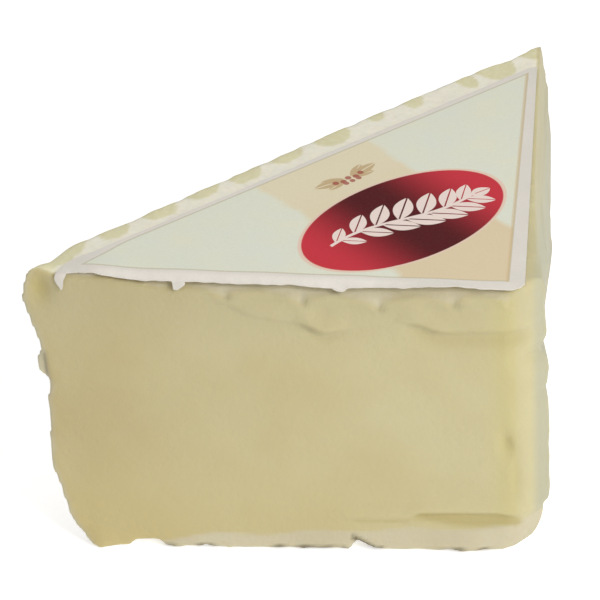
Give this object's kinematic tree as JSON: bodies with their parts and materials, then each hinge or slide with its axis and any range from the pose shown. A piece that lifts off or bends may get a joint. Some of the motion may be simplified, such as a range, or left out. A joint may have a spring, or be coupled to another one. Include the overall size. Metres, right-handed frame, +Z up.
{
  "type": "triple cream cheese wedge",
  "caption": "Quarter of a square soft-ripened triple cream cheese with a triangular paper label on top.",
  "frame": {"origin": "under the middle of the whole part's box, at the level the cheese stands on", "axes": "+Z up; the smooth front cut runs along X and faces -Y, the other cut runs along Y and faces +X"},
  "size_m": [0.0936, 0.092, 0.061],
  "materials": {
    "paste": "soft, slightly moist cut cheese, pale cream yellow",
    "label_paper": "printed paper, pale green and tan fields, satin"
  },
  "bodies": {
    "root": {"cheese_wedge": "paste", "paper_label": "label_paper"}
  },
  "joints": []
}
